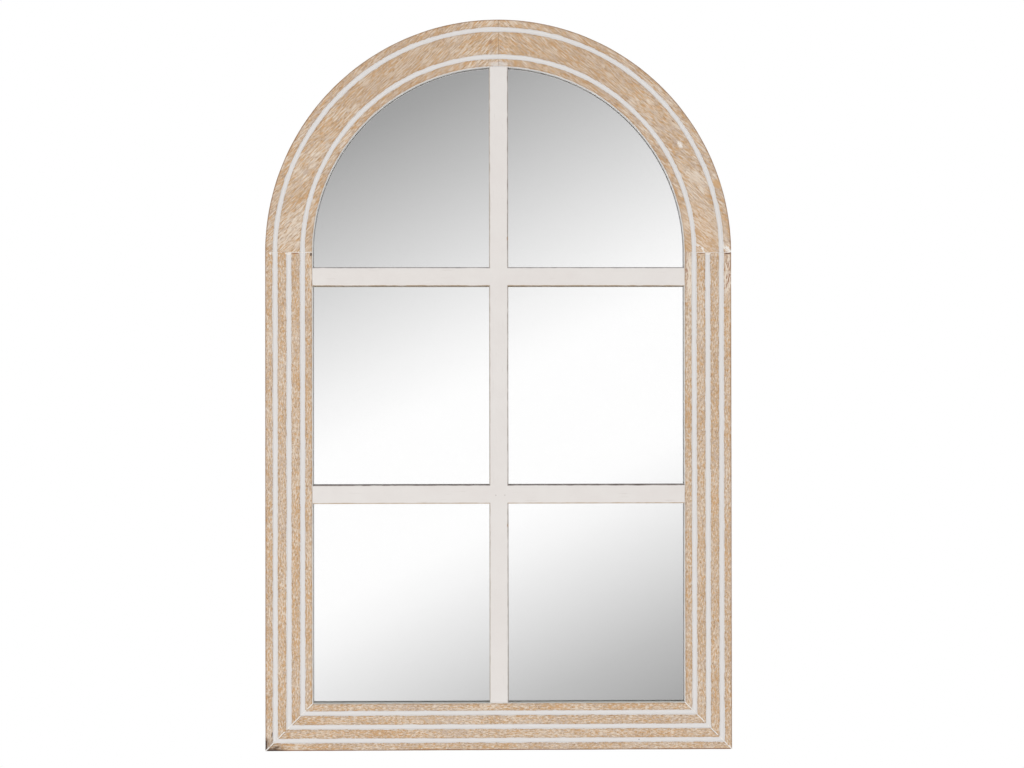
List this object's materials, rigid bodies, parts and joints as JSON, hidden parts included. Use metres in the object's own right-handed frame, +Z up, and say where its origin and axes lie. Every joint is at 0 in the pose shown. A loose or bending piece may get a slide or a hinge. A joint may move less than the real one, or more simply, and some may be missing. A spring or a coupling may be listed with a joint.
{
  "type": "arched window mirror",
  "caption": "Arched wall mirror in the form of a window: limed wood frame with painted grooves, flush bars in front of the mirror, and ring hangers behind.",
  "frame": {"origin": "midway between the pivots of the two hanging rings, on the plane of the frame's back face", "axes": "+Z up along the mirror's height, +Y out of the back towards the wall, +X to the right seen from the front; the face looks along -Y"},
  "size_m": [0.7, 0.027, 1.097],
  "materials": {
    "limed_wood": "limed open-grain hardwood, matt, with white painted grooves",
    "pale_paint": "warm white matt paint on wood, worn at the edges",
    "silvered_glass": "float glass silvered on its back",
    "fibreboard": "raw medium-density fibreboard",
    "beech": "plain beech, glued inside the joints",
    "zinc_steel": "zinc-plated steel",
    "rubber": "soft dark rubber"
  },
  "bodies": {
    "frame": {"left_stile": "limed_wood", "right_stile": "limed_wood", "bottom_rail": "limed_wood", "left_arch_quarter": "limed_wood", "right_arch_quarter": "limed_wood", "crown_dowel_outer": "beech", "crown_dowel_inner": "beech", "left_spring_dowel_outer": "beech", "left_spring_dowel_inner": "beech", "right_spring_dowel_outer": "beech", "right_spring_dowel_inner": "beech", "left_mitre_biscuit": "beech", "right_mitre_biscuit": "beech", "upright_bar": "pale_paint", "upper_cross_bar": "pale_paint", "lower_cross_bar": "pale_paint", "upper_crossing_brad_left": "zinc_steel", "upper_crossing_brad_right": "zinc_steel", "lower_crossing_brad_left": "zinc_steel", "lower_crossing_brad_right": "zinc_steel", "board_screw_1": "zinc_steel", "board_screw_2": "zinc_steel", "board_screw_3": "zinc_steel", "board_screw_4": "zinc_steel", "board_screw_5": "zinc_steel", "board_screw_6": "zinc_steel", "board_screw_7": "zinc_steel", "board_screw_8": "zinc_steel", "board_screw_9": "zinc_steel", "board_screw_10": "zinc_steel", "board_screw_11": "zinc_steel", "board_screw_12": "zinc_steel", "board_screw_13": "zinc_steel", "left_hanger_strap": "zinc_steel", "right_hanger_strap": "zinc_steel", "left_hanger_screw_upper": "zinc_steel", "left_hanger_screw_lower": "zinc_steel", "right_hanger_screw_upper": "zinc_steel", "right_hanger_screw_lower": "zinc_steel", "mirror_glass": "silvered_glass", "backing_board": "fibreboard", "left_wall_bumper": "rubber", "right_wall_bumper": "rubber"},
    "left_ring": {"left_hanger_ring": "zinc_steel"},
    "right_ring": {"right_hanger_ring": "zinc_steel"}
  },
  "joints": [
    {"name": "left_ring_swing", "type": "hinge", "parent": "frame", "child": "left_ring", "pos_m": [-0.3245, 0.00265, 0], "axis": [1, 0, 0], "range_deg": [0, 178]},
    {"name": "right_ring_swing", "type": "hinge", "parent": "frame", "child": "right_ring", "pos_m": [0.3245, 0.00265, 0], "axis": [1, 0, 0], "range_deg": [0, 178]}
  ]
}
